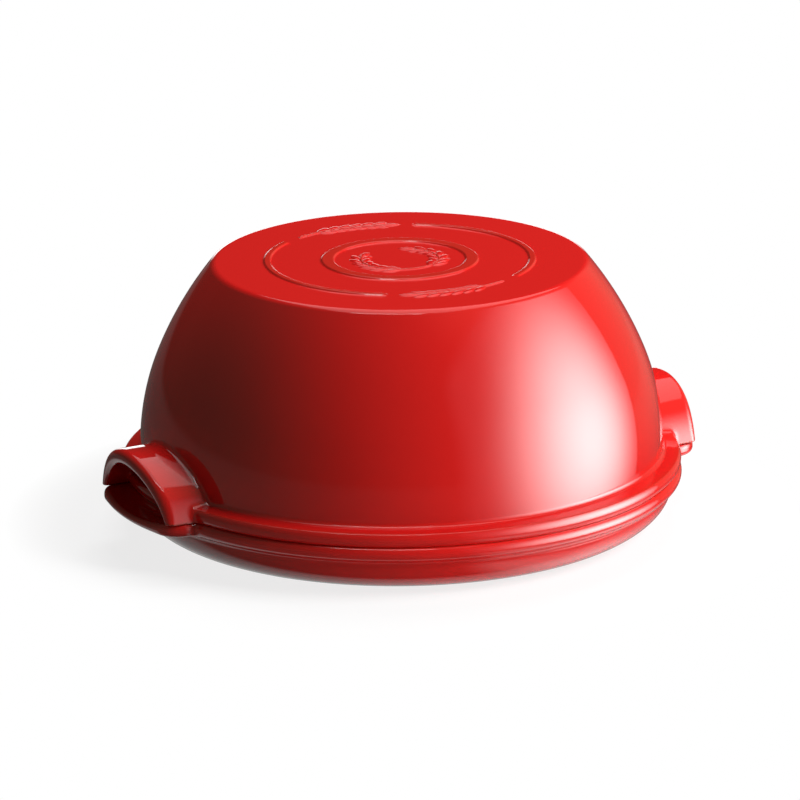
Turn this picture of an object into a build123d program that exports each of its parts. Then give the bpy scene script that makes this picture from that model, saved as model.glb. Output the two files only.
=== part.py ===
from build123d import *
import os

# Bread cloche in glazed stoneware: a deep domed lid upside down over a shallow dish.
# Both pieces have two lugs, moulded in one with them. The lid's lugs are arches and
# the dish's are shelves under them, so that fingers go in between the two.
# Millimetres. Origin on the table under the middle, +Z up, lugs along X.

# Seam where the two rims meet. Every other radius is set out from this one.
seam_height = 29.0
seam_radius = 144.2

# Dome of the lid
dome_height = 111.0
wall_setback = 6.6
dome_taper = 39.6
upright_wall = 12.0
haunch_radius = 130.0
haunch_angle = 22.9
top_edge_round = 5.0
wall = 7.0

# Rim of the lid
lid_rim_bulge = 3.0
lid_rim_bulge_height = 3.4
flange_overhang = 1.7
flange_edge_height = 7.2
flange_edge_round = 1.2
ledge_rise = 1.1
ledge_fillet = 2.6

# Lip of the lid, inside the dish
lip_depth = 4.5
lip_clearance = 1.5
lip_round = 1.4

# Dish
rim_land_width = 7.2
dish_rim_bulge = 3.3
dish_rim_bulge_depth = 3.4
dish_rim_depth = 6.9
dish_rim_lower_overhang = 1.4
dish_wall_setback = 1.8
dish_wall_drop = 9.4
foot_setback = 32.2
floor_thickness = 7.0
foot_ring_width = 9.0
foot_recess = 1.2
cove_fillet = 3.0
soft_edge = 1.0

# Arched lugs of the lid
lug_overhang = 15.8
lug_root_depth = 15.6
lug_crown = 28.8
lug_half_width = 41.6
lug_flare = 3.8
lug_springing_drop = 4.0
lug_shell = 7.9
lug_foot_thickness = 4.8
lug_end_round = 2.4
lug_root_round = 3.6

# Shelf lugs of the dish
shelf_overhang = 16.3
shelf_thickness = 7.2
shelf_hollow = 2.6
shelf_hollow_margin = 5.6
shelf_edge_round = 3.0
shelf_corner_round = 10.0

# Raised rings on the flat top
ring_height = 0.9
ring_top_round = 0.35
broken_ring_setback = 26.6
broken_ring_width = 4.3
broken_ring_gap = 66.0
whole_ring_setback = 30.0
whole_ring_width = 7.4

# How far cutting shapes run past what they cut
overrun = 5.0

# Heights and radii that follow from the sizes above
top_height = seam_height + dome_height
wall_radius = seam_radius - wall_setback
top_radius = wall_radius - dome_taper
lid_rim_radius = seam_radius + lid_rim_bulge
flange_edge_radius = seam_radius + flange_overhang
rim_land_inner_radius = seam_radius - rim_land_width
dish_rim_radius = seam_radius + dish_rim_bulge
dish_rim_lower_radius = seam_radius + dish_rim_lower_overhang
dish_wall_radius = seam_radius - dish_wall_setback
foot_radius = seam_radius - foot_setback
lug_reach = seam_radius + lug_overhang
lug_root = wall_radius - lug_root_depth
lug_root_half_width = lug_half_width + lug_flare
lug_opening_half_width = lug_half_width - lug_foot_thickness
shelf_hollow_half_width = lug_half_width - shelf_hollow_margin
shelf_reach = seam_radius + shelf_overhang
broken_ring_radius = top_radius - broken_ring_setback
whole_ring_radius = broken_ring_radius - whole_ring_setback
lip_outer_radius = rim_land_inner_radius - lip_clearance
opening_rise = lug_crown - lug_shell
opening_radius = (lug_opening_half_width**2 + opening_rise**2) / (2 * opening_rise)
opening_middle = seam_height + opening_rise - opening_radius


def turned(profile):
    """A solid of revolution about the cloche's axis."""
    return revolve(profile.sketch, Axis.Z)


def corner_near(profile, radius, height):
    """The corner of a profile on the XZ plane that lies nearest to a radius and a height."""
    return profile.vertices().sort_by_distance((radius, height, 0))[0]


def dome_solid(inset, base_height):
    """The dome as a full solid, its surface set in by inset from the outside."""
    height = top_height - inset
    radius = wall_radius - inset
    edge_radius = top_radius - inset / 2
    with BuildSketch(Plane.XZ) as profile:
        with BuildLine():
            foot = (radius, seam_height + upright_wall)
            haunch = JernArc(foot, (0, 1), haunch_radius - inset, haunch_angle)
            crown = TangentArc(haunch @ 1, (edge_radius, height), tangent=haunch % 1)
            Polyline(crown @ 1, (0, height), (0, base_height), (radius, base_height), haunch @ 0)
        make_face()
        fillet(corner_near(profile, edge_radius, height), top_edge_round + inset)
    return turned(profile)


def lid_flange():
    """Rim of the lid: a bulging band with a ledge on top, which runs up into the dome's wall."""
    ledge_height = seam_height + flange_edge_height
    inside = wall_radius - wall / 2
    with BuildSketch(Plane.XZ) as profile:
        with BuildLine():
            band = ThreePointArc(
                (seam_radius, seam_height),
                (lid_rim_radius, seam_height + lid_rim_bulge_height),
                (flange_edge_radius, ledge_height),
            )
            Polyline(
                band @ 1,
                (wall_radius, ledge_height + ledge_rise),
                (wall_radius, seam_height + upright_wall),
                (inside, seam_height + upright_wall),
                (inside, seam_height),
                band @ 0,
            )
        make_face()
        fillet(corner_near(profile, flange_edge_radius, ledge_height), flange_edge_round)
        fillet(corner_near(profile, wall_radius, ledge_height + ledge_rise), ledge_fillet)
    return turned(profile)


def lid_lip():
    """Ring under the lid that keeps it centred in the dish."""
    inner = wall_radius - wall
    outer = lip_outer_radius
    low = seam_height - lip_depth
    high = seam_height + lip_depth
    with BuildSketch(Plane.XZ) as profile:
        with BuildLine():
            Polyline((inner, low), (outer, low), (outer, high), (inner, high), close=True)
        make_face()
        fillet([corner_near(profile, inner, low), corner_near(profile, outer, low)], lip_round)
    return turned(profile)


def arch_face(x, half_width):
    """The part of an ellipse that stands above the seam, across a lug at x from the axis."""
    with BuildSketch(Plane.YZ.offset(x)) as face:
        with Locations((0, seam_height - lug_springing_drop)):
            Ellipse(half_width, lug_crown + lug_springing_drop)
        with Locations((0, seam_height)):
            width = 2 * (half_width + overrun)
            height = 2 * (lug_crown + lug_springing_drop)
            Rectangle(width, height, align=(Align.CENTER, Align.MAX), mode=Mode.SUBTRACT)
    return face.sketch


def lid_lug():
    """One arched lug on +X with its outer end rounded, open below for the fingers."""
    tip = lug_reach + overrun
    block = loft([arch_face(lug_root, lug_root_half_width), arch_face(tip, lug_half_width)])
    block = block & Pos(0, 0, seam_height) * Cylinder(lug_reach, 2 * (lug_crown + overrun))
    from_end = (Align.CENTER, Align.CENTER, Align.MIN)
    opening = Rot(Y=90) * Cylinder(opening_radius, tip, align=from_end)
    arch = block - Pos(lug_root, 0, opening_middle) * opening
    at_end = lug_reach - lug_shell
    outer_edges = [e for e in arch.edges() if (e @ 0.5).X > at_end]
    end_edges = [e for e in outer_edges if abs((e @ 0).X - (e @ 1).X) < lug_shell]
    return arch.fillet(lug_end_round, end_edges)


def opposite(solid):
    """The same piece on the other side of the cloche."""
    return Rot(Z=180) * solid


def meets_wall(edge):
    """Whether an edge is the line where a lug's back meets the upright wall of the dome."""
    middle = edge @ 0.5
    off_axis = Vector(middle.X, middle.Y).length
    on_wall = wall_radius - soft_edge < off_axis < wall_radius + soft_edge
    above_ledge = middle.Z > seam_height + flange_edge_height + ledge_rise + soft_edge
    below_crown = middle.Z < seam_height + lug_crown + soft_edge
    off_opening = Vector(middle.Y, middle.Z - opening_middle).length - opening_radius
    in_lug = abs(middle.Y) < lug_root_half_width and off_opening > 2 * soft_edge
    return in_lug and on_wall and above_ledge and below_crown


def broken_ring():
    """Raised ring near the edge of the top, with two gaps that face +Y and -Y."""
    ring = flat_ring(broken_ring_radius, broken_ring_width)
    length = 2 * top_radius
    for turn in (0, 180):
        wedge = Rot(Z=turn + 90 - broken_ring_gap / 2) * wedge_solid(length, broken_ring_gap)
        ring = ring - wedge
    return ring


def flat_ring(outer_radius, width):
    """Raised ring that stands on the flat top, with its upper edges rounded."""
    with BuildSketch(Plane.XY.offset(top_height - soft_edge)) as outline:
        Circle(outer_radius)
        Circle(outer_radius - width, mode=Mode.SUBTRACT)
    ring = extrude(outline.sketch, soft_edge + ring_height)
    return fillet(ring.faces().sort_by(Axis.Z)[-1].edges(), ring_top_round)


def wedge_solid(length, angle):
    """A wedge about the axis, from +X through an angle, that cuts a gap in a ring."""
    with BuildSketch(Plane.XY.offset(top_height - overrun)) as outline:
        with BuildLine():
            first = Line((0, 0), (length, 0))
            arc = CenterArc((0, 0), length, 0, angle)
            Line(arc @ 1, first @ 0)
        make_face()
    return extrude(outline.sketch, 2 * overrun)


def make_lid():
    """The domed lid, one moulding: dome, rim, lip, two arched lugs and the rings on its top."""
    lug = lid_lug()
    body = dome_solid(0, seam_height) + lid_flange() + lug + opposite(lug)
    body = body.fillet(lug_root_round, body.edges().filter_by(meets_wall))
    body = body - dome_solid(wall, seam_height - overrun)
    return body + lid_lip() + broken_ring() + flat_ring(whole_ring_radius, whole_ring_width)


def dish_outside():
    """The dish as a full solid: its bead at the seam, a hollow under it and a round lower wall."""
    wall_top = seam_height - dish_wall_drop
    bead_bottom = seam_height - dish_rim_depth
    with BuildSketch(Plane.XZ) as profile:
        with BuildLine():
            bead = ThreePointArc(
                (seam_radius, seam_height),
                (dish_rim_radius, seam_height - dish_rim_bulge_depth),
                (dish_rim_lower_radius, bead_bottom),
            )
            cove = Line(bead @ 1, (dish_wall_radius, wall_top))
            side = EllipticalCenterArc(
                (foot_radius, wall_top),
                dish_wall_radius - foot_radius,
                wall_top,
                start_angle=270,
                arc_size=90,
            )
            Polyline(side @ 0, (0, 0), (0, seam_height), bead @ 0)
        make_face()
        fillet(corner_near(profile, dish_wall_radius, wall_top), cove_fillet)
        fillet(corner_near(profile, dish_rim_lower_radius, bead_bottom), soft_edge)
    return turned(profile)


def dish_hollow():
    """The inside of the dish, as the solid to take away."""
    wall_top = seam_height - dish_wall_drop
    with BuildSketch(Plane.XZ) as profile:
        with BuildLine():
            side = EllipticalCenterArc(
                (foot_radius, wall_top),
                rim_land_inner_radius - foot_radius,
                wall_top - floor_thickness,
                start_angle=270,
                arc_size=90,
            )
            high = seam_height + overrun
            Polyline(side @ 1, (rim_land_inner_radius, high), (0, high), (0, floor_thickness), side @ 0)
        make_face()
    return turned(profile)


def dish_shelf():
    """One shelf lug on +X under the lid's arch, slightly hollow on top, with round edges."""
    with BuildSketch(Plane.XY.offset(seam_height)) as plan:
        with BuildLine():
            Polyline(
                (lug_root, -lug_root_half_width),
                (shelf_reach + overrun, -lug_half_width),
                (shelf_reach + overrun, lug_half_width),
                (lug_root, lug_root_half_width),
                close=True,
            )
        make_face()
        Circle(shelf_reach, mode=Mode.INTERSECT)
        fillet(plan.vertices().group_by(Axis.X)[-1], shelf_corner_round)
    shelf = extrude(plan.sketch, -shelf_thickness)
    level = [e for e in shelf.edges() if abs((e @ 0).Z - (e @ 1).Z) < soft_edge]
    rim = [e for e in level if (e @ 0.5).X > dish_rim_radius]
    shelf = shelf.fillet(shelf_edge_round, rim)
    radius = (shelf_hollow_half_width**2 + shelf_hollow**2) / (2 * shelf_hollow)
    middle = seam_height - shelf_hollow + radius
    scoop = Rot(Y=90) * Cylinder(radius, 2 * (shelf_reach + overrun))
    return shelf - Pos(0, 0, middle) * scoop


def foot_hollow():
    """Shallow recess in the underside that leaves a ring to stand on."""
    recess = Cylinder(foot_radius - foot_ring_width, foot_recess + overrun)
    return Pos(0, 0, (foot_recess - overrun) / 2) * recess


def make_dish():
    """The shallow dish with two shelf lugs."""
    shelf = dish_shelf()
    return dish_outside() + shelf + opposite(shelf) - dish_hollow() - foot_hollow()


os.makedirs("parts", exist_ok=True)
nodes = {"base_dish": make_dish, "cloche_lid": make_lid}
for name, make in nodes.items():
    piece = make()
    piece.label = name
    export_step(piece, "parts/" + name + ".step")
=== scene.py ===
import math

import bpy
import numpy as np
from bpy.props import FloatProperty, FloatVectorProperty, IntProperty, PointerProperty
from mathutils import Matrix, Vector
from numpy.linalg import norm


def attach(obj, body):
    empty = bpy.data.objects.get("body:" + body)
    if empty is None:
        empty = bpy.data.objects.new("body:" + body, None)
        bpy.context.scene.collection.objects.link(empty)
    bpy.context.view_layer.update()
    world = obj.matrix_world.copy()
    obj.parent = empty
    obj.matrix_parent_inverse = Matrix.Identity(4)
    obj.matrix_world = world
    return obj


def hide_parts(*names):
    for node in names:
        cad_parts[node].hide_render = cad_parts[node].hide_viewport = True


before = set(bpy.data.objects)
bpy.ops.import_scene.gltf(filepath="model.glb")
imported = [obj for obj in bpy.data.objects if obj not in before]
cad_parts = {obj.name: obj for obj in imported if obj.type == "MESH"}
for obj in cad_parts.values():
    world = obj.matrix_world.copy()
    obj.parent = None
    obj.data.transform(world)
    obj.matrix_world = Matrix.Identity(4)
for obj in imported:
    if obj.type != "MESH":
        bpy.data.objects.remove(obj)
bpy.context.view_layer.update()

bl_info = {
    "name": "Glazed bread cloche",
    "version": (1, 0, 0),
    "blender": (4, 5, 0),
    "location": "View3D > Sidebar > Cloche",
    "description": "Builds a glazed bread cloche over its CAD frame, and a studio",
    "category": "Object",
}


# The user's sizes and colours


def length(name, default, description):
    """A size in metres that shows in the scene's units."""
    return FloatProperty(
        name=name, description=description, default=default, min=0.0, precision=5,
        unit="LENGTH", subtype="DISTANCE",
    )


def angle(name, degrees, description):
    """An angle, given in degrees and kept in radians."""
    return FloatProperty(name=name, description=description, default=math.radians(degrees), subtype="ANGLE")


def colour(name, default, description):
    """A linear colour without alpha."""
    return FloatVectorProperty(
        name=name, description=description, default=default, size=3, min=0.0, max=1.0, subtype="COLOR"
    )


def number(name, default, description):
    """A plain number."""
    return FloatProperty(name=name, description=description, default=default, precision=4)


class ClocheRimSizes(bpy.types.PropertyGroup):
    seam_height: length("Seam height", 0.029, "Height at which the lid rests on the dish")
    seam_radius: length("Seam radius", 0.1453, "Radius at which the two rims part")
    seam_round: length("Seam round", 0.0005, "Rounding of both rims at the seam")
    land_radius: length("Land radius", 0.137, "Inner radius of the dish's level rim")
    lip_clearance: length("Lip clearance", 0.0015, "Gap between the lid's lip and the dish")


class ClocheLidSizes(bpy.types.PropertyGroup):
    height: length("Dome height", 0.111, "Height of the lid above the seam")
    wall_radius: length("Wall radius", 0.1376, "Outer radius of the upright wall")
    top_radius: length("Top radius", 0.098, "Radius of the flat top")
    upright: length("Upright wall", 0.012, "Height of the upright wall above the seam")
    haunch_radius: length("Haunch radius", 0.130, "Radius of the wall's curve into the dome")
    haunch_angle: angle("Haunch angle", 22.9, "How far the first curve turns")
    top_round: length("Top round", 0.005, "Rounding of the flat top's edge")
    wall: length("Wall", 0.007, "Thickness of the wall")
    rim_radius: length("Rim radius", 0.1472, "Largest radius of the rim's band")
    rim_bulge: length("Rim bulge", 0.0034, "Height of that radius above the seam")
    ledge_radius: length("Ledge radius", 0.1459, "Outer radius of the ledge over the band")
    ledge_height: length("Ledge height", 0.0072, "Height of the ledge's edge above the seam")
    ledge_round: length("Ledge round", 0.0012, "Rounding of the ledge's edge")
    ledge_rise: length("Ledge rise", 0.0011, "How far the ledge climbs to the wall")
    ledge_fillet: length("Ledge fillet", 0.0026, "Fillet between the ledge and the wall")
    lip_depth: length("Lip depth", 0.0045, "Depth of the lip in the dish")
    lip_round: length("Lip round", 0.0014, "Rounding of the lip")


class ClocheRingSizes(bpy.types.PropertyGroup):
    height: length("Ring height", 0.0009, "Height of the raised rings")
    edge: length("Ring edge", 0.0009, "Rounding of the rings' edges")
    broken_radius: length("Broken ring radius", 0.0714, "Outer radius of the ring with two gaps")
    broken_width: length("Broken ring width", 0.0043, "Width of the ring with two gaps")
    gap: angle("Ring gap", 66.0, "Angle of each gap")
    whole_radius: length("Whole ring radius", 0.0414, "Outer radius of the whole ring")
    whole_width: length("Whole ring width", 0.0074, "Width of the whole ring")


class ClocheWheatSizes(bpy.types.PropertyGroup):
    height: length("Wheat height", 0.0008, "Height of the wheat's relief")
    grain_length: length("Grain length", 0.0096, "Length of one grain")
    grain_width: length("Grain width", 0.0040, "Width of one grain")
    stem: length("Stem", 0.018, "Length of the bare stem")
    stem_radius: length("Stem radius", 0.0007, "Half the width of the stem")
    spacing: length("Spacing", 0.0062, "Distance between pairs of grains")
    lean: angle("Lean", 26.0, "Angle of a grain to the stem")
    wreath_radius: length("Wreath radius", 0.0205, "Radius of the wreath in the middle")
    wreath_start: angle("Wreath start", math.degrees(-0.22), "Turn of its stems past the foot")
    pairs: IntProperty(name="Pairs", description="Pairs of grains on an ear", default=6)
    blend: length("Wheat blend", 0.0008, "Softness of the relief's foot")
    step: length("Wheat mesh step", 0.00035, "Mesh size on the relief")


class ClocheLugSizes(bpy.types.PropertyGroup):
    reach: length("Reach", 0.160, "Reach of the lid's lugs from the axis")
    root: length("Root", 0.122, "Where the lugs' sides start, inside the wall")
    crown: length("Crown", 0.0288, "Height of the arch above the seam")
    half_width: length("Half width", 0.0416, "Half the arch's width past its end")
    root_half_width: length("Root half width", 0.0454, "Half the arch's width at its root")
    springing_drop: length("Springing drop", 0.004, "Depth of the arch's ellipse below the seam")
    shell: length("Shell", 0.0079, "Thickness of the arch at its crown")
    opening_half_width: length("Opening half width", 0.0368, "Half the finger opening's width at the seam")
    end_round: length("End round", 0.0038, "Rounding of the arch's outer end")
    blend: length("Blend", 0.0036, "Softness of the joint between lug and wall")
    step: length("Mesh step", 0.0008, "Mesh size on the lugs")


class ClocheDishSizes(bpy.types.PropertyGroup):
    bead_radius: length("Bead radius", 0.1475, "Largest radius of the dish's bead")
    bead_bulge: length("Bead bulge", 0.0034, "Depth of that radius below the seam")
    bead_depth: length("Bead depth", 0.0069, "Depth of the bead's lower edge below the seam")
    bead_lower_radius: length("Bead lower radius", 0.1456, "Radius of the bead's lower edge")
    wall_radius: length("Wall radius", 0.1424, "Radius of the wall under the bead")
    wall_drop: length("Wall drop", 0.0094, "Depth of the wall's top below the seam")
    foot_radius: length("Foot radius", 0.112, "Radius of the foot")
    floor: length("Floor", 0.007, "Thickness of the dish's floor")
    foot_ring: length("Foot ring", 0.009, "Width of the ring that the dish stands on")
    foot_recess: length("Foot recess", 0.0012, "Depth of the recess inside the foot ring")
    cove: length("Cove", 0.003, "Fillet under the bead")
    soft_edge: length("Soft edge", 0.001, "Rounding of the small edges")
    shelf_reach: length("Shelf reach", 0.16046, "Reach of the shelf lugs from the axis")
    shelf_thickness: length("Shelf thickness", 0.0072, "Thickness of the shelf lugs")
    shelf_hollow: length("Shelf hollow", 0.0026, "Depth of the hollow in the shelves' tops")
    shelf_hollow_half_width: length("Hollow half width", 0.036, "Half the width of that hollow")
    shelf_round: length("Shelf round", 0.003, "Rounding of the shelves' edges")
    shelf_corner: length("Shelf corner", 0.010, "Rounding of the shelves' corners in plan")
    blend: length("Blend", 0.0036, "Softness of the joint between shelf and bead")


class ClocheGlaze(bpy.types.PropertyGroup):
    body: colour("Glaze", (0.59, 0.010, 0.009), "Colour of the thick glaze")
    thin: colour("Thin glaze", (0.36, 0.024, 0.010), "Colour where the glaze is thin over the clay")
    roughness: number("Roughness", 0.045, "Roughness of the glaze")


class ClocheStudio(bpy.types.PropertyGroup):
    lens: number("Lens", 270.0, "Focal length of the camera in millimetres")
    distance: length("Distance", 3.155, "Distance of the camera from its target")
    target_height: length("Target height", 0.0633, "Height of the camera's target on the axis")
    azimuth: angle("Azimuth", -26.7, "Turn of the camera about the object")
    elevation: angle("Elevation", 16.7, "Camera angle above the horizon")
    roll: angle("Roll", -0.57, "Turn of the camera about its line of sight")
    shift: number("Shift", -0.0015, "Sideways shift of the picture")
    floor_colour: colour("Floor", (0.9, 0.9, 0.9), "Colour of the floor")
    floor_radius: length("Floor radius", 0.42, "Radius of the pale sheet under the object")
    glossy_floor: number("Floor in the glaze", 0.06, "Brightness of the floor's dim parts in the glaze")


# Profiles: rows of radius, height and the unit direction of travel

ARC_STEP, ARC_TURN, ARC_FEWEST = 0.0012, math.radians(6), 3  # longest piece and its turn, and fewest places
OVAL_PLACES = 48
CORNER_REACH, CORNER_TRIES, CORNER_HALVINGS = 8, 400, 30  # search for a rounding's start, in radii
CORNER_PIECES = 6  # to each radius of a rounding's length
SAME_LENGTH, SAME_PLACE, SAME_WAY = 1e-7, 1e-6, 0.999  # metres, metres and a cosine


def line(start, end):
    """A straight stretch of a profile."""
    start, end = np.array(start, float), np.array(end, float)
    way = (end - start) / norm(end - start)
    return np.array([[*start, *way], [*end, *way]])


def arc(centre, radius, start, end, step=ARC_STEP):
    """A circular stretch of a profile between two angles."""
    swept = abs(end - start)
    count = max(ARC_FEWEST, int(math.ceil(max(swept / ARC_TURN, swept * radius / step))) + 1)
    turn = np.linspace(start, end, count)
    sign = 1 if end > start else -1
    cos, sin = np.cos(turn), np.sin(turn)
    return np.stack([centre[0] + radius * cos, centre[1] + radius * sin, -sign * sin, sign * cos], 1)


def arc_between(centre, radius, start, end, left, step=ARC_STEP):
    """A circular stretch about a centre from one point to another, turning left or right."""
    first, last = (math.atan2(y - centre[1], x - centre[0]) for x, y in (start, end))
    if left and last < first:
        last += math.tau
    if not left and last > first:
        last -= math.tau
    return arc(centre, radius, first, last, step)


def arc_through(start, middle, end):
    """A circular stretch of a profile through three points."""
    (ax, ay), (bx, by), (cx, cy) = start, middle, end
    d = 2 * (ax * (by - cy) + bx * (cy - ay) + cx * (ay - by))
    a, b, c = ax * ax + ay * ay, bx * bx + by * by, cx * cx + cy * cy
    x = (a * (by - cy) + b * (cy - ay) + c * (ay - by)) / d
    y = (a * (cx - bx) + b * (ax - cx) + c * (bx - ax)) / d
    left = (bx - ax) * (cy - ay) - (by - ay) * (cx - ax) > 0
    return arc_between((x, y), math.hypot(ax - x, ay - y), start, end, left)


def arc_on_from(before, end):
    """A circular stretch that leaves a stretch without a corner and reaches a point."""
    start, way = before[-1, :2], before[-1, 2:]
    left = np.array([-way[1], way[0]])
    chord = np.array(end) - start
    radius = chord @ chord / (2 * left @ chord)
    return arc_between(start + left * radius, abs(radius), start, end, radius > 0)


def oval(centre, across, up, start, end):
    """A stretch of an ellipse between two angles."""
    turn = np.linspace(start, end, OVAL_PLACES)
    cos, sin = np.cos(turn), np.sin(turn)
    way = np.stack([-across * sin, up * cos], 1) * (1 if end > start else -1)
    way /= norm(way, axis=1)[:, None]
    return np.column_stack([centre[0] + across * cos, centre[1] + up * sin, way])


def at_length(stretch, where):
    """The row of a stretch at a length from its start."""
    steps = norm(np.diff(stretch[:, :2], axis=0), axis=1)
    along = np.concatenate([[0], np.cumsum(steps)])
    row = np.array([np.interp(where, along, stretch[:, i]) for i in range(4)])
    row[2:] /= norm(row[2:])
    return row, along


def cut(stretch, where, before):
    """What of a stretch comes before a length along it, or else what comes after."""
    row, along = at_length(stretch, where)
    if before:
        return np.vstack([stretch[along < where - SAME_LENGTH], row])
    return np.vstack([row, stretch[along > where + SAME_LENGTH]])


def nearest_on(stretch, point):
    """Distance from a point to a stretch, and the length along it of the nearest place."""
    a, b = stretch[:-1, :2], stretch[1:, :2]
    way = b - a
    share = np.clip(((point - a) * way).sum(1) / (way * way).sum(1), 0, 1)
    gap = norm(a + way * share[:, None] - point, axis=1)
    best = gap.argmin()
    lengths = norm(way, axis=1)
    return gap[best], lengths[:best].sum() + share[best] * lengths[best]


def round_corner(before, after, radius):
    """The two stretches cut back, with the rounding between them."""
    cross = before[-1, 2] * after[0, 3] - before[-1, 3] * after[0, 2]
    side = 1 if cross > 0 else -1
    total = norm(np.diff(before[:, :2], axis=0), axis=1).sum()

    def centre_at(where):
        row, _ = at_length(before, where)
        return row[:2] + side * radius * np.array([-row[3], row[2]])

    tries = total - np.linspace(0, min(total, radius * CORNER_REACH), CORNER_TRIES)
    gaps = np.array([nearest_on(after, centre_at(w))[0] - radius for w in tries])
    past = int(np.argmax(gaps >= 0))
    if gaps[past] < 0:
        raise ValueError(f"a rounding of {radius} m doesn't fit its corner at {before[-1, :2]}")
    low, high = tries[past], tries[max(past - 1, 0)]
    for _ in range(CORNER_HALVINGS):
        middle = (low + high) / 2
        clear = nearest_on(after, centre_at(middle))[0] >= radius
        low, high = (middle, high) if clear else (low, middle)
    centre = centre_at(low)
    kept, rest = cut(before, low, True), cut(after, nearest_on(after, centre)[1], False)
    rounding = arc_between(centre, radius, kept[-1, :2], rest[0, :2], side > 0, radius / CORNER_PIECES)
    return kept, rounding, rest


def profile_of(*stretches):
    """One profile of stretches, with a number between two where their corner is rounded."""
    done = [stretches[0]]
    radius = 0
    for item in stretches[1:]:
        if np.isscalar(item):
            radius = item
        elif radius:
            done[-1:] = round_corner(done[-1], item, radius)
            radius = 0
        else:
            done.append(item)
    rows = [done[0]]
    for stretch in done[1:]:
        here, there = rows[-1][-1], stretch[0]
        same = np.allclose(here[:2], there[:2], atol=SAME_PLACE) and here[2:] @ there[2:] > SAME_WAY
        rows.append(stretch[1:] if same else stretch)
    return np.vstack(rows)


# Meshes: vertices, faces and exact normals

LEAST_RING = 1e-9  # square metres; a smaller ring, in a corner or on the axis, gets no faces
PULLS, SLOPE_REACH, LEAST_SLOPE = 5, 1e-6, 1e-3  # how a mesh is drawn onto its surface
LEAST_RUN = 1e-12  # square metres; a shorter side has no bend


def turned(profile, segments, lift=None):
    """A profile turned about the axis. lift may move the places."""
    angles = np.linspace(0, math.tau, segments, endpoint=False)
    radius, height, way_r, way_z = profile.T
    cos, sin = np.cos(angles)[:, None], np.sin(angles)[:, None]

    def spun(outward, upward):
        return np.stack([outward * cos, outward * sin, upward + 0 * cos], 2)

    places, normals = spun(radius, height), spun(way_z, -way_r)
    if lift is not None:
        places, normals = lift(places, normals, angles)
    wide = np.hypot(np.diff(radius), np.diff(height)) * (radius[1:] + radius[:-1]) > LEAST_RING
    rows, columns = np.arange(segments), np.flatnonzero(wide)
    a = rows[:, None] * len(radius) + columns
    b = np.roll(rows, -1)[:, None] * len(radius) + columns
    faces = np.stack([a, b, b + 1, a + 1], 2).reshape(-1, 4)
    return places.reshape(-1, 3), faces, normals.reshape(-1, 3)


def cells_cut(inside):
    """Which cells of a grid a surface runs through, from which of its places are inside."""
    cells = np.lib.stride_tricks.sliding_window_view(inside, (2, 2, 2))
    return cells.any((3, 4, 5)) & ~cells.all((3, 4, 5))


def slope(field, points, here):
    """The field's gradient, by differences from its values there."""
    out = np.empty_like(points)
    for axis in range(3):
        step = np.zeros(3)
        step[axis] = SLOPE_REACH
        out[:, axis] = (field(points + step) - here) / SLOPE_REACH
    return out


def surface_of(field, low, high, step):
    """A mesh of quads on the surface where a field is zero, with its vertices on the surface."""
    axes = [np.arange(l, h + step, step) for l, h in zip(low, high)]
    grid = np.stack(np.meshgrid(*axes, indexing="ij"), 3)
    inside = field(grid.reshape(-1, 3)).reshape(grid.shape[:3]) < 0
    crossed = cells_cut(inside)
    index = np.full(crossed.shape, -1)
    index[crossed] = np.arange(crossed.sum())
    points = grid[:-1, :-1, :-1][crossed] + step / 2
    faces = []
    for axis in range(3):
        order = axis, (axis + 1) % 3, (axis + 2) % 3
        moved, table = inside.transpose(order), index.transpose(order)
        first, second = moved[:-1, 1:-1, 1:-1], moved[1:, 1:-1, 1:-1]
        for outward, where in ((True, first & ~second), (False, ~first & second)):
            i, j, k = np.nonzero(where)
            quad = np.stack([table[i, j + b, k + c] for b, c in ((0, 0), (1, 0), (1, 1), (0, 1))], 1)
            faces.append(quad if outward else quad[:, ::-1])
    faces = np.concatenate(faces)
    for _ in range(PULLS):
        here = field(points)
        gradient = slope(field, points, here)
        pull = np.clip(here / np.maximum((gradient**2).sum(1), LEAST_SLOPE), -step, step)
        points = points - gradient * pull[:, None]
    normals = slope(field, points, field(points))
    normals /= norm(normals, axis=1)[:, None]
    return points, faces, normals


def half_turn(part):
    """The same part on the other side of the axis."""
    places, faces, normals = part
    other = np.array([-1.0, -1.0, 1.0])
    return places * other, faces, normals * other


def sharpest(places, faces, normals):
    """The sharpest outward bend at each vertex, one over its radius."""
    first, second = faces.ravel(), np.roll(faces, -1, axis=1).ravel()
    run, turn = places[second] - places[first], normals[second] - normals[first]
    squared = (run**2).sum(1)
    bend = np.where(squared > LEAST_RUN, (run * turn).sum(1) / np.maximum(squared, LEAST_RUN), 0)
    most = np.zeros(len(places))
    np.maximum.at(most, first, bend)
    np.maximum.at(most, second, bend)
    return most


def piece_from(name, parts, body, cad_node, material):
    """One object of several parts, riding a body in place of a CAD node."""
    old = bpy.data.objects.get(name)
    if old:
        bpy.data.objects.remove(old)
    starts = np.cumsum([0] + [len(part[0]) for part in parts])
    places, normals = (np.concatenate([part[i] for part in parts]) for i in (0, 2))
    faces = np.concatenate([part[1] + start for part, start in zip(parts, starts)])
    mesh = bpy.data.meshes.new(name)
    mesh.from_pydata(places.tolist(), [], faces.tolist())
    mesh.attributes.new("bend", "FLOAT", "POINT").data.foreach_set("value", sharpest(places, faces, normals))
    mesh.shade_smooth()
    mesh.normals_split_custom_set_from_vertices(normals.tolist())
    mesh.materials.append(material)
    made = bpy.data.objects.new(name, mesh)
    bpy.context.scene.collection.objects.link(made)
    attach(made, body)
    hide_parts(cad_node)


# Fields: distances in metres, negative inside

BATCH = 20000  # points measured at once
TINY = 1e-6  # keeps a division whole at a form's middle


def from_axis(points):
    """Distances from the axis."""
    return np.hypot(points[..., 0], points[..., 1])


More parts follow.
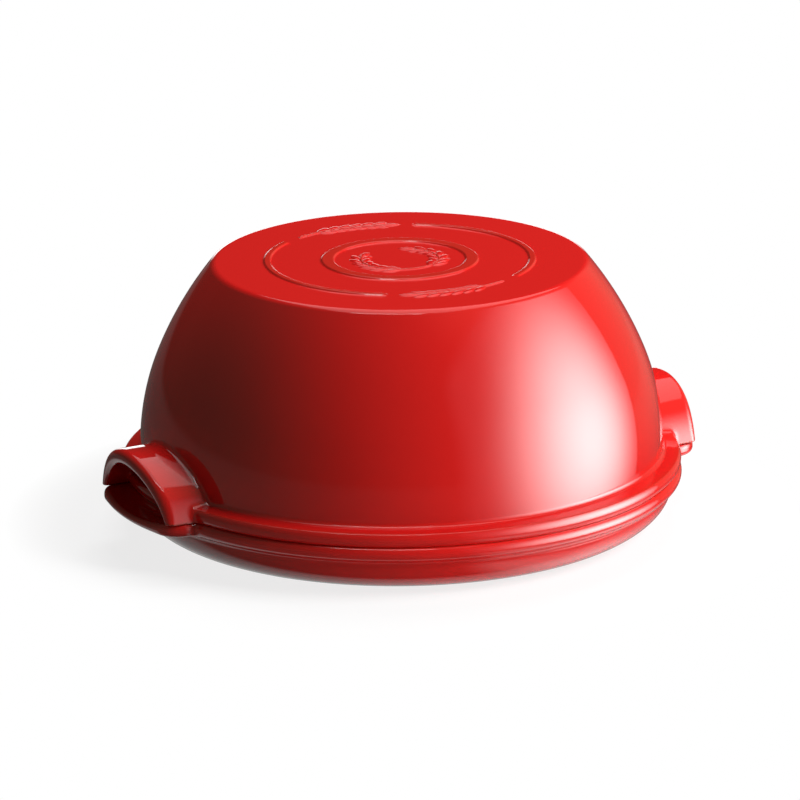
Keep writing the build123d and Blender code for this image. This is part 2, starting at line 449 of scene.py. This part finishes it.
def soft_union(a, b, reach):
    """The nearer of two distances, with a fillet where they meet."""
    share = np.maximum(reach - np.abs(a - b), 0) / reach
    return np.minimum(a, b) - share**3 * reach / 6


def round_overlap(a, b, radius):
    """The overlap of two forms with its edge rounded."""
    outer = np.hypot(np.maximum(a + radius, 0), np.maximum(b + radius, 0))
    return outer + np.minimum(np.maximum(a, b) + radius, 0) - radius


def profile_distance(profile):
    """A field of the distance to a turned profile that has its form on its left."""
    a, b = profile[:-1, :2], profile[1:, :2]
    way = b - a
    squares = (way * way).sum(1)

    def field(points):
        out = np.empty(len(points))
        for start in range(0, len(points), BATCH):
            some = points[start : start + BATCH]
            flat = np.stack([from_axis(some), some[:, 2]], 1)
            gap = flat[:, None, :] - a
            share = np.clip((gap * way).sum(2) / squares, 0, 1)
            off = gap - way * share[..., None]
            apart = (off * off).sum(2)
            best = apart.argmin(1)
            rows = np.arange(len(some))
            side = way[best, 0] * off[rows, best, 1] - way[best, 1] * off[rows, best, 0]
            out[start : start + BATCH] = np.sqrt(apart[rows, best]) * np.where(side > 0, -1, 1)
        return out

    return field


def oval_distance(across, up, half_width, half_height):
    """About how far a place lies outside an ellipse."""
    reach = np.sqrt((across / half_width) ** 2 + (up / half_height) ** 2)
    slope_there = np.sqrt((across / half_width**2) ** 2 + (up / half_height**2) ** 2)
    return (reach - 1) * reach / np.maximum(slope_there, TINY)


# Shader maths

WHITE = (1, 1, 1, 1)


class Wire:
    """A shader socket that takes part in sums."""

    def __init__(self, tree, socket):
        self.tree, self.socket = tree, socket

    def math(self, operation, *others, flip=False, **settings):
        """A Math node on this socket and other values, the socket last if flip is set."""
        values = [*others, self] if flip else [self, *others]
        return node(self.tree, "ShaderNodeMath", {"operation": operation, **settings}, dict(enumerate(values)))

    def __add__(self, other):
        return self.math("ADD", other)

    __radd__ = __add__

    def __mul__(self, other):
        return self.math("MULTIPLY", other)

    __rmul__ = __mul__

    def __sub__(self, other):
        return self.math("SUBTRACT", other)

    def __rsub__(self, other):
        return self.math("SUBTRACT", other, flip=True)

    def __truediv__(self, other):
        return self.math("DIVIDE", other)

    def __rtruediv__(self, other):
        return self.math("DIVIDE", other, flip=True)

    def clamped(self):
        """The same value kept between nought and one."""
        return self.math("ADD", 0.0, use_clamp=True)


def node(tree, kind, settings=None, inputs=None, output=0):
    """A node with its settings made first, and then the values or links of its sockets."""
    made = tree.nodes.new(kind)
    for key, value in (settings or {}).items():
        setattr(made, key, value)
    for key, value in (inputs or {}).items():
        if isinstance(value, Wire):
            tree.links.new(value.socket, made.inputs[key])
        else:
            made.inputs[key].default_value = value
    return Wire(tree, made.outputs[output])


def mixed(tree, share, first, second):
    """A colour between two, by number because a Mix node's sockets share their names."""
    return node(tree, "ShaderNodeMix", {"data_type": "RGBA"}, {0: share, 6: first, 7: second}, output=2)


def blended(tree, share, first, second):
    """A shader between two."""
    return node(tree, "ShaderNodeMixShader", inputs={0: share, 1: first, 2: second})


def noise(tree, place, scale, detail):
    """Smooth noise about a half."""
    return node(tree, "ShaderNodeTexNoise", inputs={"Vector": place, "Scale": scale, "Detail": detail})


def smooth(tree, value, low, high):
    """Nought below one value, one above another, and a soft step between."""
    settings = {"interpolation_type": "SMOOTHSTEP"}
    return node(tree, "ShaderNodeMapRange", settings, {0: value, 1: low, 2: high})


def dot(tree, way, direction):
    """How far a direction or place lies along another direction."""
    inputs = {0: way, 1: tuple(direction)}
    return node(tree, "ShaderNodeVectorMath", {"operation": "DOT_PRODUCT"}, inputs, output="Value")


def rays(tree):
    """Whether a ray comes from the camera, from a mirroring surface or through a clear one."""
    kinds = ("Camera", "Glossy", "Transmission")
    return [node(tree, "ShaderNodeLightPath", output=f"Is {kind} Ray") for kind in kinds]


def new_material(name):
    """An empty material with its tree and output."""
    made = bpy.data.materials.get(name) or bpy.data.materials.new(name)
    made.use_nodes = True
    made.node_tree.nodes.clear()
    return made, made.node_tree, made.node_tree.nodes.new("ShaderNodeOutputMaterial")


POOLS, WAVES, PEEL = (14.0, 3.0), (55.0, 2.0), (420.0, 2.0)  # scale and detail of the glaze's noises
THIN_FROM, THIN_OVER, THIN_UNEVEN = 500, 1500, 0.6  # bends where the glaze thins, and a noise's part in it
PEEL_SHARE, ROUGH_UNEVEN = 0.12, 0.02


def glaze_material(name, glaze):
    """Deep red glaze: glassy, a little uneven, and thinner and browner on edges."""
    made, tree, end = new_material(name)
    place = node(tree, "ShaderNodeNewGeometry", output="Position")
    pool = noise(tree, place, *POOLS)
    bend = node(tree, "ShaderNodeAttribute", {"attribute_name": "bend"}, output="Fac")
    bare = ((bend - THIN_FROM) / THIN_OVER + (pool - 0.5) * THIN_UNEVEN).clamped()
    height = noise(tree, place, *WAVES) + noise(tree, place, *PEEL) * PEEL_SHARE
    bump = node(tree, "ShaderNodeBump", inputs={"Strength": 0.06, "Distance": 0.0006, "Height": height})
    inputs = {
        "Base Color": mixed(tree, bare, (*glaze.body, 1), (*glaze.thin, 1)),
        "Roughness": pool * ROUGH_UNEVEN + (glaze.roughness - ROUGH_UNEVEN / 2),
        "IOR": 1.52,
        "Normal": bump,
    }
    shader = node(tree, "ShaderNodeBsdfPrincipled", inputs=inputs)
    tree.links.new(shader.socket, end.inputs["Surface"])
    return made


# Profiles of this cloche

RECESS_ROUND = 0.45  # rounding of the recess's edges, on its depth


def lid_outside(rim, lid):
    """The lid's outside from the seam up to the flat top's edge."""
    seam, wall = rim.seam_height, lid.wall_radius
    ledge, top = (lid.ledge_radius, seam + lid.ledge_height), (wall, seam + lid.upright)
    foot = (wall, ledge[1] + lid.ledge_rise)
    band = arc_through((rim.seam_radius, seam), (lid.rim_radius, seam + lid.rim_bulge), ledge)
    haunch = arc((wall - lid.haunch_radius, top[1]), lid.haunch_radius, 0, lid.haunch_angle)
    crown = arc_on_from(haunch, (lid.top_radius, seam + lid.height))
    return [band, lid.ledge_round, line(ledge, foot), lid.ledge_fillet, line(foot, top), haunch, crown]


def lines(rounding, *corners):
    """Straight stretches from corner to corner, rounded between them."""
    return [part for pair in zip(corners, corners[1:]) for part in (rounding, line(*pair))][1:]


def ring_bump(outer, width, rings, top):
    """A raised ring on the top's profile, met from outside."""
    inner, high, lean = outer - width, top + rings.height, rings.edge
    corners = (outer, top), (outer - lean, high), (inner + lean, high), (inner, top)
    return [rings.edge, *lines(rings.edge, *corners), rings.edge]


def lid_profile(rim, lid, rings):
    """The whole lid's profile, from the seam over the outside and back down the inside."""
    seam, top = rim.seam_height, rim.seam_height + lid.height
    inner_top = top - lid.wall
    outer, inner = rim.land_radius - rim.lip_clearance, lid.wall_radius - lid.wall
    low = seam - lid.lip_depth
    centre = (lid.wall_radius - lid.haunch_radius, seam + lid.upright)
    inner_haunch = arc(centre, lid.haunch_radius - lid.wall, lid.haunch_angle, 0)
    edge = lid.top_radius - lid.wall / 2
    back = inner_haunch[::-1] * [1, 1, -1, -1]
    inner_crown = arc_on_from(back, (edge, inner_top))[::-1] * [1, 1, -1, -1]
    broken, whole = rings.broken_radius, rings.whole_radius
    return profile_of(
        line((outer, seam), (rim.seam_radius, seam)), rim.seam_round, *lid_outside(rim, lid), lid.top_round,
        line((lid.top_radius, top), (broken, top)), *ring_bump(broken, rings.broken_width, rings, top),
        line((broken - rings.broken_width, top), (whole, top)), *ring_bump(whole, rings.whole_width, rings, top),
        line((whole - rings.whole_width, top), (0.0, top)),
        line((0.0, inner_top), (edge, inner_top)), lid.top_round + lid.wall, inner_crown, inner_haunch,
        *lines(lid.lip_round, (inner, seam + lid.upright), (inner, low), (outer, low), (outer, seam)),
    )


def dish_outside(rim, dish):
    """The dish's outside from its foot up to the seam."""
    seam = rim.seam_height
    wall_top = seam - dish.wall_drop
    side = oval((dish.foot_radius, wall_top), dish.wall_radius - dish.foot_radius, wall_top, -math.pi / 2, 0)
    lower = (dish.bead_lower_radius, seam - dish.bead_depth)
    bead = arc_through(lower, (dish.bead_radius, seam - dish.bead_bulge), (rim.seam_radius, seam))
    return [side, dish.cove, line((dish.wall_radius, wall_top), lower), dish.soft_edge, bead]


def dish_profile(rim, dish):
    """The whole dish's profile, from under the middle round the outside and down into the bowl."""
    seam = rim.seam_height
    wall_top = seam - dish.wall_drop
    ring = dish.foot_radius - dish.foot_ring
    middle = (dish.foot_radius, wall_top)
    bowl = oval(middle, rim.land_radius - dish.foot_radius, wall_top - dish.floor, 0, -math.pi / 2)
    recess = dish.foot_recess
    return profile_of(
        *lines(recess * RECESS_ROUND, (0.0, recess), (ring, recess), (ring, 0.0), (dish.foot_radius, 0.0)),
        *dish_outside(rim, dish), rim.seam_round,
        *lines(dish.soft_edge, (rim.seam_radius, seam), (rim.land_radius, seam), (rim.land_radius, wall_top)),
        bowl, line((dish.foot_radius, dish.floor), (0.0, dish.floor)),
    )


# Lugs

PAST_END = 0.005  # past a lug's end, where its half width is given
OVER_ARCH, OVER_FOOT = 0.025, 0.004  # up to where, and from where, the turned body counts
DRAWN_ON = 0.02  # how far its profile is drawn on past the seam
LEAST_ARCH, LEAST_SHELF = 0.0012, 0.001  # least rounding of a lug's end
ROOM_BESIDE, ROOM_PAST = 0.010, 0.002  # what is meshed beside a lug, and past its end and the seam
ARCH_IN, ARCH_UP, SHELF_IN, SHELF_DOWN = 0.016, 0.012, 0.012, 0.010  # and elsewhere round it
RIM_NEAR, SINK = 1e-4, 2e-5  # what counts as on the rim, and how deep an edge is sunk


def chord_radius(half_width, rise):
    """The radius of an arc of this rise over a chord of twice the half width."""
    return (half_width**2 + rise**2) / (2 * rise)


def side_width(points, lug, reach):
    """Half the width of a lug that narrows outward."""
    share = (points[:, 0] - lug.root) / (reach + PAST_END - lug.root)
    return lug.root_half_width + (lug.half_width - lug.root_half_width) * share


def lid_lug(rim, lid, lug):
    """One arched lug on +X, blended into the rim and the wall."""
    seam = rim.seam_height
    rise = lug.crown - lug.shell
    opening = chord_radius(lug.opening_half_width, rise)
    centre = seam + rise - opening
    outside = profile_of(*lid_outside(rim, lid))
    outside = outside[outside[:, 1] < seam + lug.crown + OVER_ARCH]
    sunk = outside[:1].copy()
    sunk[0, :2] -= sunk[0, 2:] * DRAWN_ON
    body = profile_distance(np.vstack([sunk, outside]))

    def arch(points):
        up = points[:, 2] - seam + lug.springing_drop
        half_width = side_width(points, lug, lug.reach)
        over = oval_distance(points[:, 1], up, half_width, lug.crown + lug.springing_drop)
        under = opening - np.hypot(points[:, 1], points[:, 2] - centre)
        shell = np.maximum(over, under)
        end = from_axis(points) - lug.reach
        thick = np.clip((over + under) * -0.5, LEAST_ARCH, lug.end_round)
        return round_overlap(shell, end, thick)

    box = lid.wall_radius - ARCH_IN, lug.reach + ROOM_PAST, seam - ROOM_PAST, seam + lug.crown + ARCH_UP
    return lug_surface(rim, lug, body, arch, lug.blend, 1, box)


def lug_surface(rim, lug, body, form, blend, side, box):
    """A form on +X blended into a turned body. side is 1 to keep what is over the seam, -1 what is under."""
    inner, outer, bottom, top = box

    def whole(points):
        joined = soft_union(body(points), form(points), blend)
        return round_overlap(joined, (rim.seam_height - points[:, 2]) * side, rim.seam_round)

    wide = lug.root_half_width + ROOM_BESIDE
    part = surface_of(whole, (inner, -wide, bottom), (outer, wide, top), lug.step)
    return only_blend(part, body, form, blend, rim)


def only_blend(part, body, lug, blend, rim=None):
    """What of a surface belongs to the lug and its blend, its edge sunk just under the body."""
    places, faces, normals = part
    counts = body(places) - lug(places) > -blend
    if rim:  # its level face, that the turned body has too, isn't kept
        inward = rim.seam_radius - rim.seam_round - from_axis(places)
        counts &= (np.abs(places[:, 2] - rim.seam_height) >= RIM_NEAR) | (inward <= RIM_NEAR)
    faces = faces[counts[faces].any(1)]
    places = places - normals * np.where(counts, 0, SINK)[:, None]
    used, back = np.unique(faces, return_inverse=True)
    return places[used], back.reshape(-1, 4), normals[used]


def dish_shelf(rim, dish, lug):
    """One shelf lug on +X, blended into the dish's bead."""
    seam = rim.seam_height
    outside = profile_of(*dish_outside(rim, dish))
    outside = outside[outside[:, 1] > OVER_FOOT]
    on = outside[-1:].copy()
    on[0, :2] += on[0, 2:] * DRAWN_ON
    body = profile_distance(np.vstack([outside, on]))
    hollow = chord_radius(dish.shelf_hollow_half_width, dish.shelf_hollow)
    middle = seam - dish.shelf_hollow + hollow

    def shelf(points):
        side = np.abs(points[:, 1]) - side_width(points, lug, dish.shelf_reach)
        end = from_axis(points) - dish.shelf_reach
        plan = round_overlap(side, end, dish.shelf_corner)
        scoop = hollow - np.hypot(points[:, 1], points[:, 2] - middle)
        top = np.maximum(points[:, 2] - seam, scoop)
        under = seam - dish.shelf_thickness - points[:, 2]
        thick = np.clip((top + under) * -0.5, LEAST_SHELF, dish.shelf_round)
        return round_overlap(plan, np.maximum(top, under), thick)

    bottom = seam - dish.shelf_thickness - SHELF_DOWN
    box = dish.wall_radius - SHELF_IN, dish.shelf_reach + ROOM_PAST, bottom, seam + ROOM_PAST
    return lug_surface(rim, lug, body, shelf, dish.blend, -1, box)


# Wheat relief

GRAIN_ASIDE = 0.66  # of a grain's width, from the stem to its middle
STEM_PLACES = 14
UNDER_TOP, OVER_WHEAT = 0.0005, 0.0006  # what is meshed under the flat top and over the relief
EAR_SIDE, EAR_IN, EAR_OUT, WREATH_OUT = 0.036, 0.016, 0.006, 0.009  # and round it


def grain_distance(points, place, along, wheat):
    """Roughly the distance to one grain, an ellipsoid half sunk in the flat top."""
    half = np.array([wheat.grain_length / 2, wheat.grain_width / 2, wheat.height])
    off = points[:, :2] - place
    beside = off[:, 1] * along[0] - off[:, 0] * along[1]
    scaled = np.stack([off @ along, beside, points[:, 2]], 1) / half
    far = norm(scaled, axis=1)
    return far * (far - 1) / np.maximum(norm(scaled / half, axis=1), TINY)


def path_distance(points, path, radius):
    """Distance to a round stem along a path on the flat top."""
    nearest = np.full(len(points), np.inf)
    for start, end in zip(path[:-1], path[1:]):
        run = end - start
        off = points[:, :2] - start
        share = np.clip(off @ run / (run @ run), 0, 1)
        apart = off - share[:, None] * run
        nearest = np.minimum(nearest, np.hypot(from_axis(apart), points[:, 2]))
    return nearest - radius


def wheat_relief(spines, wheat, top, low, high):
    """Ears of wheat in low relief on the flat top, one along each spine."""
    grains, paths = [], []
    full = wheat.stem + wheat.pairs * wheat.spacing
    for spine in spines:
        for pair in range(wheat.pairs):
            place, along = spine(wheat.stem + pair * wheat.spacing)
            beside = np.array([-along[1], along[0]])
            for side in (1, -1):
                lean = along * math.cos(wheat.lean) + beside * side * math.sin(wheat.lean)
                grains.append((place + beside * side * wheat.grain_width * GRAIN_ASIDE, lean))
        grains.append(spine(full))
        paths.append(np.array([spine(end)[0] for end in np.linspace(0, full, STEM_PLACES)]))

    def flat(points):
        return points[:, 2] - top

    def raised(points):
        above = points - (0, 0, top)
        forms = [path_distance(above, path, wheat.stem_radius) for path in paths]
        forms += [grain_distance(above, place, along, wheat) for place, along in grains]
        return np.minimum.reduce(forms)

    def whole(points):
        return soft_union(flat(points), raised(points), wheat.blend)

    low, high = (*low, top - UNDER_TOP), (*high, top + wheat.height + OVER_WHEAT)
    return only_blend(surface_of(whole, low, high, wheat.step), flat, raised, wheat.blend)


def bent(radius, start, side):
    """A spine round the axis at a radius, from an angle; side is 1 to run anticlockwise."""

    def spine(along):
        turn = start + side * along / radius
        out = np.array([math.cos(turn), math.sin(turn)])
        return out * radius, np.array([-out[1], out[0]]) * side

    return spine


def ear_in_gap(rings, wheat, top):
    """An ear bent along the broken ring, in its gap on the +Y side."""
    radius = rings.broken_radius - rings.broken_width / 2
    reach = (wheat.stem + wheat.pairs * wheat.spacing) / radius
    spine = bent(radius, math.pi / 2 + reach / 2, -1)
    return wheat_relief([spine], wheat, top, (-EAR_SIDE, radius - EAR_IN), (EAR_SIDE, radius + EAR_OUT))


def wreath(wheat, top):
    """Two ears that bend round the middle of the top from one foot."""
    low = -math.pi / 2
    spines = [bent(wheat.wreath_radius, low + side * wheat.wreath_start, side) for side in (1, -1)]
    reach = wheat.wreath_radius + WREATH_OUT
    return wheat_relief(spines, wheat, top, (-reach, -reach), (reach, reach))


# Operators

LID_SEGMENTS, DISH_SEGMENTS = 360, 720
RING_ENDS, RING_ROOM = 0.0008, 0.001  # length of the broken ring's ends, and room round it


class CLOCHE_OT_lid(bpy.types.Operator):
    """Build the glazed lid over its CAD node"""

    bl_idname = "cloche.lid"
    bl_label = "Glazed lid"

    def execute(self, context):
        scene = context.scene
        rim, lid, rings, lug = scene.cloche_rim, scene.cloche_lid, scene.cloche_rings, scene.cloche_lug
        top = rim.seam_height + lid.height
        broken_inner = rings.broken_radius - rings.broken_width

        def with_gaps(places, normals, angles):
            off_gap = np.abs((angles - math.pi / 2) % math.pi)
            off_gap = np.minimum(off_gap, math.pi - off_gap) - rings.gap / 2
            share = np.clip(off_gap * rings.broken_radius / RING_ENDS + 0.5, 0, 1)
            share = (share * share * (3 - 2 * share))[:, None]
            radius = from_axis(places)
            on_ring = (radius < rings.broken_radius + RING_ROOM) & (radius > broken_inner - RING_ROOM)
            on_ring &= places[..., 2] > top - SAME_PLACE
            places[..., 2] = np.where(on_ring, top + (places[..., 2] - top) * share, places[..., 2])
            flat = np.where(on_ring, share, 1.0)[..., None]
            normals = normals * flat + np.array([0, 0, 1.0]) * (1 - flat)
            return places, normals / norm(normals, axis=2)[..., None]

        body = turned(lid_profile(rim, lid, rings), LID_SEGMENTS, with_gaps)
        arch = lid_lug(rim, lid, lug)
        ear = ear_in_gap(rings, scene.cloche_wheat, top)
        parts = [body, arch, half_turn(arch), ear, half_turn(ear), wreath(scene.cloche_wheat, top)]
        glaze = glaze_material("red_glaze_lid", scene.cloche_glaze)
        piece_from("lid_glazed", parts, "lid", "cloche_lid", glaze)
        return {"FINISHED"}


class CLOCHE_OT_dish(bpy.types.Operator):
    """Build the glazed dish over its CAD node"""

    bl_idname = "cloche.dish"
    bl_label = "Glazed dish"

    def execute(self, context):
        scene = context.scene
        rim, dish, lug = scene.cloche_rim, scene.cloche_dish, scene.cloche_lug
        body = turned(dish_profile(rim, dish), DISH_SEGMENTS)
        shelf = dish_shelf(rim, dish, lug)
        glaze = glaze_material("red_glaze_dish", scene.cloche_glaze)
        piece_from("dish_glazed", [body, shelf, half_turn(shelf)], "dish", "base_dish", glaze)
        return {"FINISHED"}


class CLOCHE_OT_studio(bpy.types.Operator):
    """Set up the floor, the lamps, the world and the camera"""

    bl_idname = "cloche.studio"
    bl_label = "Studio"

    def execute(self, context):
        scene = context.scene
        studio = scene.cloche_studio
        scene.view_settings.view_transform = "Standard"
        add_camera(scene, studio)
        add_floor(scene, studio)
        add_world(scene, studio)
        add_lamps(scene)
        return {"FINISHED"}


# Studio: bearings are degrees from -Y towards +X, and up

FLOOR_SIDES, FLOOR_GRAIN, FLOOR_GLOW = 128, 0.04, 0.8
# The second colour here is painted shade: the floor's colour for rays from the object, away from the key lamp's
# side
PALE_GRAIN, PAINTED_SHADE_FLOOR, WARM = (0.8, 0.8, 0.8, 1), (0.15, 0.15, 0.15, 1), (1.0, 0.86, 0.64, 1)
PAINTED_KEY_SIDE = 40, 0, -0.1, 0.16  # bearing, and the metres along it where the painted key light on the floor comes up
GLOW_FROM, GLOW_TO, FADE_FROM, FADE_TO = 0.4, 0.75, 0.6, 0.95  # of the floor's radius

# Panels: bearing, left, right, lower and upper side in degrees, and their softness in tangents
KEY_PANEL = 50, 3, (-55, 49, -38, 54), (0.5, 0.03, 0.35, 0.4)
SIDE_PANEL = 115, 5, (-40, 28, -25, 30), (0.1, 0.35, 0.3, 0.3)
FAR_PANELS = (  # with their brightness first
    (1.2, 145, 72, (-24, 24, -36, 34), (0.05,) * 4),
    (8.0, -42, 72, (-15, 15, -3, 3), (0.03,) * 4),
    (3.0, 155, -1, (-12, 12, -8, 7), (0.12, 0.12, 0.08, 0.08)),
)
PANEL_FRONT = 0.0, 0.05  # cosines that keep a panel out of the half behind it
SPOT_MIDDLE, SPOT_ACROSS, SPOT_UP = 0.17, 0.54, 0.6  # the key panel's bright spot, in tangents

# Zones: bearing, and the cosines where they come up
LEFT_ZONE, HIGH_ZONE, CAMERA_ZONE = (-115, 5, 0.4, 0.95), (80, 62, 0.7, 0.95), (-0.6, 0.2)
FLOOR_ZONES = (  # with their brightness first, and cosines from straight down last
    (1.1, (72, 0, 0.22, 0.5), (0.45, 0.75)),
    (0.5, (153, 0, 0.05, 0.3), (0.3, 0.5)),
)
HORIZON = -0.08, -0.03  # cosines from straight up, where the floor ends

# Brightness of the others, and of what lights the dull parts
SPOT_LIGHT, KEY_LIGHT, SIDE_LIGHT, FILL_LIGHT = 16.0, 0.35, 0.28, 0.045
CAMERA_LIGHT, ROOM_LIGHT, LEFT_LIGHT, HIGH_LIGHT = 0.08, 0.035, 0.07, 0.25

LAMPS = {"key_softbox": (41, 35, 37), "rear_softbox": (150, 60, 20)}  # bearing and watts
LAMP_DISTANCE, LAMP_SIZE, LAMP_TARGET = 1.6, 0.9, (0, 0, 0.07)


def away(azimuth, elevation):
    """The unit direction from the object towards a camera or lamp, of angles in radians."""
    flat = math.cos(elevation)
    return Vector((math.sin(azimuth) * flat, -math.cos(azimuth) * flat, math.sin(elevation)))


def bearing(azimuth, elevation):
    """The same direction, of angles in degrees."""
    return away(math.radians(azimuth), math.radians(elevation))


def add_camera(scene, studio):
    """The camera at the photograph's viewing angle."""
    data = bpy.data.cameras.new("camera")
    data.lens, data.sensor_width, data.shift_x = studio.lens, 36.0, studio.shift
    data.clip_start, data.clip_end = 0.1, 50.0
    made = bpy.data.objects.new("camera", data)
    back = away(studio.azimuth, studio.elevation)
    facing = (-back).to_track_quat("-Z", "Y").to_matrix().to_4x4()
    place = Matrix.Translation(Vector((0, 0, studio.target_height)) + back * studio.distance)
    made.matrix_world = place @ facing @ Matrix.Rotation(studio.roll, 4, "Z")
    scene.collection.objects.link(made)
    scene.camera = made


def toward(tree, way, azimuth, elevation, low, high):
    """A soft step between two values of how far a direction or place lies along a bearing."""
    return smooth(tree, dot(tree, way, bearing(azimuth, elevation)), low, high)


def add_floor(scene, studio):
    """A pale sheet under the object that fades into the white round it and keeps the shadow."""
    mesh = bpy.data.meshes.new("floor")
    radius = studio.floor_radius
    angles = np.linspace(0, math.tau, FLOOR_SIDES, endpoint=False)
    rim = [(radius * math.cos(turn), radius * math.sin(turn), 0.0) for turn in angles]
    mesh.from_pydata(rim, [], [list(range(len(rim)))])
    made = bpy.data.objects.new("floor", mesh)
    material, tree, end = new_material("pale_floor")
    place = node(tree, "ShaderNodeNewGeometry", output="Position")
    out = node(tree, "ShaderNodeVectorMath", {"operation": "LENGTH"}, {0: place}, output="Value")
    camera, glossy, clear = rays(tree)
    seen = camera + clear
    pale = mixed(tree, noise(tree, place, 40.0, 4.0) * FLOOR_GRAIN, (*studio.floor_colour, 1), PALE_GRAIN)
    # Painted light on the floor for rays from the object: dark painted shade, turning to white painted key light
    # on the key lamp's side
    painted_floor_light = mixed(tree, toward(tree, place, *PAINTED_KEY_SIDE), PAINTED_SHADE_FLOOR, WHITE)
    tint = mixed(tree, camera, painted_floor_light, pale)
    paper = node(tree, "ShaderNodeBsdfDiffuse", inputs={"Color": tint, "Roughness": 0.5})
    white = node(tree, "ShaderNodeEmission", inputs={"Color": WHITE, "Strength": seen})
    share = camera * FLOOR_GLOW + seen * smooth(tree, out, radius * GLOW_FROM, radius * GLOW_TO)
    gone = node(tree, "ShaderNodeBsdfTransparent")
    fade = smooth(tree, out, radius * FADE_FROM, radius * FADE_TO)
    shown = blended(tree, (fade + glossy).clamped(), blended(tree, share.clamped(), paper, white), gone)
    tree.links.new(shown.socket, end.inputs["Surface"])
    mesh.materials.append(material)
    scene.collection.objects.link(made)


def panel(tree, way, azimuth, elevation, sides, softness):
    """A soft-edged rectangle of light in the surround, and the tangents across and up it."""
    front = bearing(azimuth, elevation)
    across = Vector((math.cos(math.radians(azimuth)), math.sin(math.radians(azimuth)), 0))
    ahead = dot(tree, way, front)
    x = dot(tree, way, across) / ahead
    y = dot(tree, way, front.cross(across)) / ahead
    left, right, low, high = (math.tan(math.radians(side)) for side in sides)
    soft_left, soft_right, soft_low, soft_high = softness
    inside = smooth(tree, x, left, left + soft_left) * (1 - smooth(tree, x, right - soft_right, right))
    inside = inside * smooth(tree, y, low, low + soft_low) * (1 - smooth(tree, y, high - soft_high, high))
    return inside * smooth(tree, ahead, *PANEL_FRONT), x, y


def add_world(scene, studio):
    """White where the camera looks, and a dark studio with soft panels of light in the glaze."""
    world = bpy.data.worlds.new("surround")
    scene.world = world
    world.use_nodes = True
    tree = world.node_tree
    tree.nodes.clear()
    end = tree.nodes.new("ShaderNodeOutputWorld")
    way = node(tree, "ShaderNodeTexCoord", output="Generated")
    camera, glossy, clear = rays(tree)
    key, x, y = panel(tree, way, *KEY_PANEL)
    side = panel(tree, way, *SIDE_PANEL)[0]
    spot_x, spot_y = (x - SPOT_MIDDLE) / SPOT_ACROSS, y / SPOT_UP
    spot = ((spot_x * spot_x + spot_y * spot_y) * -1.0).math("EXPONENT")
    facing = dot(tree, way, away(studio.azimuth, studio.elevation))
    left, above = (toward(tree, way, *zone) for zone in (LEFT_ZONE, HIGH_ZONE))
    room = smooth(tree, facing, *CAMERA_ZONE) * CAMERA_LIGHT + ROOM_LIGHT
    room = room + left * LEFT_LIGHT + side * SIDE_LIGHT + above * HIGH_LIGHT
    down = dot(tree, way, (0, 0, -1))
    floor = 1 - smooth(tree, dot(tree, way, (0, 0, 1)), *HORIZON)
    lit = sum(toward(tree, way, *side) * smooth(tree, down, *low) * bright for bright, side, low in FLOOR_ZONES)
    paper = floor * (lit + studio.glossy_floor)
    light = key * (spot * SPOT_LIGHT + KEY_LIGHT) + (1 - key) * (room + paper)
    for bright, *shape in FAR_PANELS:
        light = light + panel(tree, way, *shape)[0] * bright
    strength = glossy * light + (1 - glossy) * FILL_LIGHT
    tint = mixed(tree, ((1 - key) * room / light).clamped(), WHITE, WARM)
    shown = node(tree, "ShaderNodeBackground", inputs={"Color": tint, "Strength": strength})
    white = node(tree, "ShaderNodeBackground", inputs={"Color": WHITE})
    both = blended(tree, (camera + clear).clamped(), shown, white)
    tree.links.new(both.socket, end.inputs["Surface"])


def add_lamps(scene):
    """A large soft lamp at the right and one behind and above, neither seen in the glaze."""
    for name, (azimuth, elevation, power) in LAMPS.items():
        data = bpy.data.lights.new(name, "AREA")
        data.shape = "RECTANGLE"
        data.size, data.size_y, data.energy = LAMP_SIZE, LAMP_SIZE, power
        made = bpy.data.objects.new(name, data)
        back = bearing(azimuth, elevation)
        made.location = Vector(LAMP_TARGET) + back * LAMP_DISTANCE
        made.rotation_mode = "QUATERNION"
        made.rotation_quaternion = (-back).to_track_quat("-Z", "Y")
        made.visible_glossy = made.visible_camera = False
        scene.collection.objects.link(made)


# The sidebar


class CLOCHE_PT_panel(bpy.types.Panel):
    """The cloche's pieces and their sizes"""

    bl_idname = "CLOCHE_PT_panel"
    bl_label = "Bread cloche"
    bl_space_type = "VIEW_3D"
    bl_region_type = "UI"
    bl_category = "Cloche"

    def draw(self, context):
        for operator in OPERATORS:
            self.layout.operator(operator.bl_idname)
        for name, group in GROUPS.items():
            box = self.layout.box()
            for key in group.__annotations__:
                box.prop(getattr(context.scene, name), key)


OPERATORS = (CLOCHE_OT_lid, CLOCHE_OT_dish, CLOCHE_OT_studio)
GROUPS = {
    "cloche_rim": ClocheRimSizes,
    "cloche_lid": ClocheLidSizes,
    "cloche_rings": ClocheRingSizes,
    "cloche_wheat": ClocheWheatSizes,
    "cloche_lug": ClocheLugSizes,
    "cloche_dish": ClocheDishSizes,
    "cloche_glaze": ClocheGlaze,
    "cloche_studio": ClocheStudio,
}


def register():
    """Adds the settings to the scene, and the operators and their panel to Blender."""
    for name, group in GROUPS.items():
        bpy.utils.register_class(group)
        setattr(bpy.types.Scene, name, PointerProperty(type=group))
    for kind in (*OPERATORS, CLOCHE_PT_panel):
        bpy.utils.register_class(kind)


def unregister():
    """Takes away what register added."""
    for kind in (CLOCHE_PT_panel, *reversed(OPERATORS)):
        bpy.utils.unregister_class(kind)
    for name, group in reversed(GROUPS.items()):
        delattr(bpy.types.Scene, name)
        bpy.utils.unregister_class(group)


def main():
    """Builds everything in order."""
    register()
    for operator in OPERATORS:
        group, name = operator.bl_idname.split(".")
        getattr(getattr(bpy.ops, group), name)()


if __name__ == "__main__":
    main()
